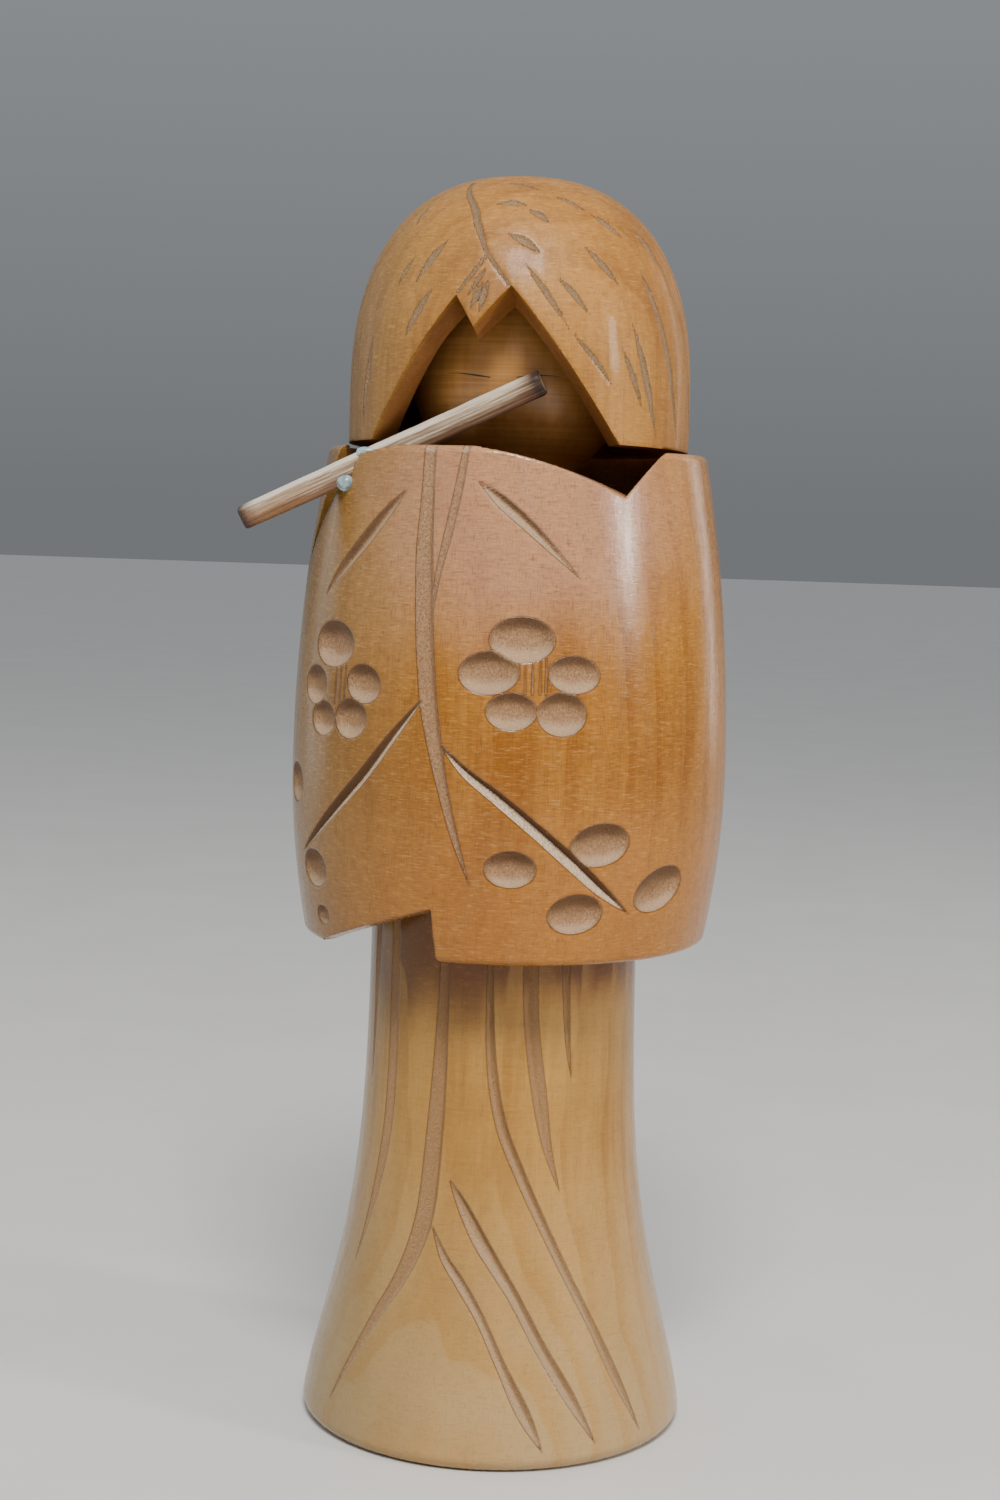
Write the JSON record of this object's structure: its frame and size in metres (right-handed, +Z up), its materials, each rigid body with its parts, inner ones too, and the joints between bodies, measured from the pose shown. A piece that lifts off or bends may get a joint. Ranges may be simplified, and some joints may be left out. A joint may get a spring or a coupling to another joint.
{
  "type": "kokeshi doll",
  "caption": "Turned wooden doll: flared skirt pillar, hollow coat, ball face under a notched bobbed hair cap, and a bamboo flute. The head turns a little.",
  "frame": {"origin": "centre of the pillar's flat base, where the doll stands", "axes": "+Z up the turning axis, the doll faces -Y, and +X is on the doll's left"},
  "size_m": [0.0836, 0.0768, 0.22],
  "materials": {
    "skirt_wood": "clear lacquer over pale close-grained wood, honey coloured, with raw carved grooves",
    "coat_wood": "clear lacquer, amber, with raw carved flowers and grooves",
    "face_wood": "clear lacquer, amber, with fine burnt eye lines",
    "hair_wood": "clear lacquer, amber, with raw carved strokes",
    "dowel_wood": "bare turned dowel",
    "bamboo": "split bamboo with burnt ends",
    "clear_glue": "set clear craft glue, slightly milky"
  },
  "bodies": {
    "body": {"skirt_pillar": "skirt_wood", "coat_shell": "coat_wood", "flute": "bamboo", "glue_bead": "clear_glue", "glue_smear": "clear_glue"},
    "head": {"face_ball": "face_wood", "hair_cap": "hair_wood", "neck_peg": "dowel_wood"}
  },
  "joints": [
    {"name": "head_swivel", "type": "hinge", "parent": "body", "child": "head", "pos_m": [0, 0, 0.14], "axis": [0, 0, 1], "range_deg": [-8, 3]}
  ]
}
